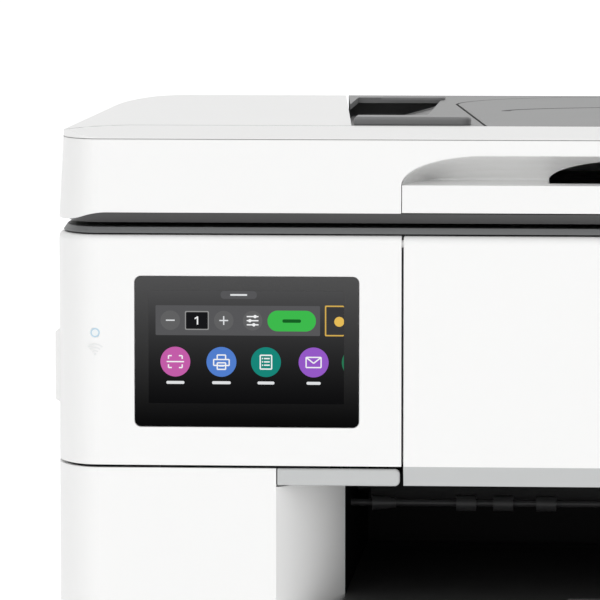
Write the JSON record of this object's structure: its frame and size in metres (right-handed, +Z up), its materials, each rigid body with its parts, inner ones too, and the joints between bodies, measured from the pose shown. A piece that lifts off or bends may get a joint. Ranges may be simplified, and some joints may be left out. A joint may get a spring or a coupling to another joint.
{
  "type": "inkjet printer",
  "caption": "Wide-format inkjet all-in-one printer with a document feeder lid, touch panel, output bay and two paper drawers.",
  "frame": {"origin": "bottom centre of the bounding box, on the surface the feet rest on", "axes": "+Z up, front faces -Y, +X to the right seen from the front"},
  "size_m": [0.584, 0.407, 0.385],
  "materials": {
    "white_plastic": "fine satin texture",
    "grey_plastic": "fine satin texture",
    "chin_plastic": "fine satin texture",
    "bed_plastic": "satin",
    "charcoal_plastic": "satin",
    "black_plastic": "satin",
    "screen_glass": "polished",
    "status_lens": "translucent",
    "platen_glass": "clear",
    "foam": "fine foam",
    "rubber": "matte",
    "steel": "brushed",
    "galvanised_sheet": "galvanised",
    "circuit_board": "solder mask",
    "ink_black": "satin",
    "ink_cyan": "satin",
    "ink_magenta": "satin",
    "ink_yellow": "satin"
  },
  "bodies": {
    "printer": {"base_cabinet": "white_plastic", "rubber_feet": "rubber", "chassis_tub": "black_plastic", "left_lower_case": "white_plastic", "right_lower_case": "white_plastic", "panel_chin": "chin_plastic", "control_panel_housing": "white_plastic", "touch_glass": "screen_glass", "display_module": "black_plastic", "status_light": "status_lens", "left_side_cover": "white_plastic", "right_side_cover": "white_plastic", "rear_cover": "white_plastic", "rear_sockets": "black_plastic", "output_tray": "charcoal_plastic", "engine_frame": "galvanised_sheet", "carriage_rod": "steel", "print_platen": "black_plastic", "drive_belt": "rubber", "drive_motors": "black_plastic", "circuit_boards": "circuit_board", "scanner_bed": "bed_plastic", "scanner_glass": "platen_glass"},
    "lid": {"lid_frame": "white_plastic", "lid_front_insert": "white_plastic", "lid_underside": "charcoal_plastic", "backing_pad": "foam", "hinge_arms": "charcoal_plastic", "adf_tray": "grey_plastic", "adf_base": "charcoal_plastic"},
    "adf_cover": {"adf_cover": "white_plastic"},
    "adf_flap": {"adf_flap": "grey_plastic"},
    "adf_guide_front": {"adf_guide_front": "grey_plastic"},
    "adf_guide_rear": {"adf_guide_rear": "charcoal_plastic"},
    "adf_roller": {"adf_roller": "rubber"},
    "front_door": {"front_door": "white_plastic", "door_lip": "chin_plastic"},
    "power_button": {"power_button": "chin_plastic"},
    "rear_access_cover": {"rear_access_cover": "white_plastic"},
    "scan_carriage": {"scan_carriage": "black_plastic"},
    "ink_carriage": {"ink_carriage": "black_plastic"},
    "cartridge_black": {"cartridge_black": "ink_black"},
    "cartridge_cyan": {"cartridge_cyan": "ink_cyan"},
    "cartridge_magenta": {"cartridge_magenta": "ink_magenta"},
    "cartridge_yellow": {"cartridge_yellow": "ink_yellow"},
    "drive_pulley": {"drive_pulley": "steel"},
    "idler_pulley": {"idler_pulley": "steel"},
    "feed_roller": {"feed_roller": "rubber"},
    "transfer_gear": {"transfer_gear": "black_plastic"},
    "output_roller": {"output_roller": "charcoal_plastic"},
    "tray_extender": {"tray_extender": "charcoal_plastic"},
    "upper_pick_roller": {"upper_pick_roller": "rubber"},
    "lower_pick_roller": {"lower_pick_roller": "rubber"},
    "upper_drawer": {"upper_drawer": "white_plastic"},
    "lower_drawer": {"lower_drawer": "white_plastic"},
    "upper_guide_left": {"upper_guide_left": "charcoal_plastic"},
    "upper_guide_right": {"upper_guide_right": "charcoal_plastic"},
    "lower_guide_left": {"lower_guide_left": "charcoal_plastic"},
    "lower_guide_right": {"lower_guide_right": "charcoal_plastic"}
  },
  "joints": [
    {"name": "lid_hinge", "type": "hinge", "parent": "printer", "child": "lid", "pos_m": [0, 0.172, 0.345], "axis": [-1, 0, 0], "range_deg": [0, 75]},
    {"name": "feeder_cover_hinge", "type": "hinge", "parent": "lid", "child": "adf_cover", "pos_m": [-0.2883, 0, 0.3668], "axis": [0, -1, 0], "range_deg": [0, 70]},
    {"name": "feeder_flap_hinge", "type": "hinge", "parent": "lid", "child": "adf_flap", "pos_m": [0.2605, 0, 0.381], "axis": [0, 1, 0], "range_deg": [0, 60]},
    {"name": "feeder_guide_front_slide", "type": "slide", "parent": "lid", "child": "adf_guide_front", "axis": [0, 1, 0], "range_m": [0, 0.04]},
    {"name": "feeder_guide_rear_slide", "type": "slide", "parent": "lid", "child": "adf_guide_rear", "axis": [0, 1, 0], "range_m": [-0.04, 0]},
    {"name": "feeder_roller_spin", "type": "hinge", "parent": "lid", "child": "adf_roller", "pos_m": [-0.205, 0, 0.357], "axis": [0, 1, 0], "continuous": true},
    {"name": "front_door_hinge", "type": "hinge", "parent": "printer", "child": "front_door", "pos_m": [0, -0.1995, 0.3255], "axis": [-1, 0, 0], "range_deg": [0, 80]},
    {"name": "power_button_press", "type": "slide", "parent": "printer", "child": "power_button", "axis": [0, 1, 0], "range_m": [0, 0.0015], "stiffness_N_per_m": 400},
    {"name": "rear_access_hinge", "type": "hinge", "parent": "printer", "child": "rear_access_cover", "pos_m": [0, 0.2021, 0.1518], "axis": [-1, 0, 0], "range_deg": [0, 90]},
    {"name": "scan_slide", "type": "slide", "parent": "printer", "child": "scan_carriage", "axis": [1, 0, 0], "range_m": [0, 0.4]},
    {"name": "ink_slide", "type": "slide", "parent": "printer", "child": "ink_carriage", "axis": [1, 0, 0], "range_m": [-0.36, 0]},
    {"name": "cartridge_black_slide", "type": "slide", "parent": "ink_carriage", "child": "cartridge_black", "axis": [0, -1, 0], "range_m": [0, 0.045]},
    {"name": "cartridge_cyan_slide", "type": "slide", "parent": "ink_carriage", "child": "cartridge_cyan", "axis": [0, -1, 0], "range_m": [0, 0.045]},
    {"name": "cartridge_magenta_slide", "type": "slide", "parent": "ink_carriage", "child": "cartridge_magenta", "axis": [0, -1, 0], "range_m": [0, 0.045]},
    {"name": "cartridge_yellow_slide", "type": "slide", "parent": "ink_carriage", "child": "cartridge_yellow", "axis": [0, -1, 0], "range_m": [0, 0.045]},
    {"name": "drive_pulley_spin", "type": "hinge", "parent": "printer", "child": "drive_pulley", "pos_m": [0.244, 0, 0.272], "axis": [0, 1, 0], "range_deg": [-10, 3400]},
    {"name": "idler_pulley_spin", "type": "hinge", "parent": "printer", "child": "idler_pulley", "pos_m": [-0.244, 0, 0.272], "axis": [0, 1, 0], "range_deg": [-10, 3400]},
    {"name": "feed_roller_spin", "type": "hinge", "parent": "printer", "child": "feed_roller", "pos_m": [0, -0.0395, 0.1883], "axis": [1, 0, 0], "continuous": true},
    {"name": "transfer_gear_spin", "type": "hinge", "parent": "printer", "child": "transfer_gear", "pos_m": [0, -0.0715, 0.1883], "axis": [1, 0, 0], "continuous": true},
    {"name": "output_roller_spin", "type": "hinge", "parent": "printer", "child": "output_roller", "pos_m": [0, -0.1035, 0.1883], "axis": [1, 0, 0], "continuous": true},
    {"name": "tray_extender_slide", "type": "slide", "parent": "printer", "child": "tray_extender", "axis": [0, -1, 0], "range_m": [0, 0.11]},
    {"name": "upper_pick_roller_spin", "type": "hinge", "parent": "printer", "child": "upper_pick_roller", "pos_m": [0, 0.1, 0.123], "axis": [1, 0, 0], "continuous": true},
    {"name": "lower_pick_roller_spin", "type": "hinge", "parent": "printer", "child": "lower_pick_roller", "pos_m": [0, 0.1, 0.053], "axis": [1, 0, 0], "continuous": true},
    {"name": "upper_drawer_slide", "type": "slide", "parent": "printer", "child": "upper_drawer", "axis": [0, -1, 0], "range_m": [0, 0.3]},
    {"name": "upper_guide_left_slide", "type": "slide", "parent": "upper_drawer", "child": "upper_guide_left", "axis": [1, 0, 0], "range_m": [0, 0.055]},
    {"name": "upper_guide_right_slide", "type": "slide", "parent": "upper_drawer", "child": "upper_guide_right", "axis": [1, 0, 0], "range_m": [-0.055, 0]},
    {"name": "lower_drawer_slide", "type": "slide", "parent": "printer", "child": "lower_drawer", "axis": [0, -1, 0], "range_m": [0, 0.3]},
    {"name": "lower_guide_left_slide", "type": "slide", "parent": "lower_drawer", "child": "lower_guide_left", "axis": [1, 0, 0], "range_m": [0, 0.055]},
    {"name": "lower_guide_right_slide", "type": "slide", "parent": "lower_drawer", "child": "lower_guide_right", "axis": [1, 0, 0], "range_m": [-0.055, 0]}
  ],
  "couplings": [
    {"joint": "feeder_guide_rear_slide", "follows": "feeder_guide_front_slide", "ratio": -1},
    {"joint": "drive_pulley_spin", "follows": "ink_slide", "rad_per_m": -161.3},
    {"joint": "idler_pulley_spin", "follows": "ink_slide", "rad_per_m": -161.3},
    {"joint": "transfer_gear_spin", "follows": "feed_roller_spin", "ratio": -1.6667},
    {"joint": "output_roller_spin", "follows": "feed_roller_spin", "ratio": 1},
    {"joint": "upper_guide_right_slide", "follows": "upper_guide_left_slide", "ratio": -1},
    {"joint": "lower_guide_right_slide", "follows": "lower_guide_left_slide", "ratio": -1}
  ]
}
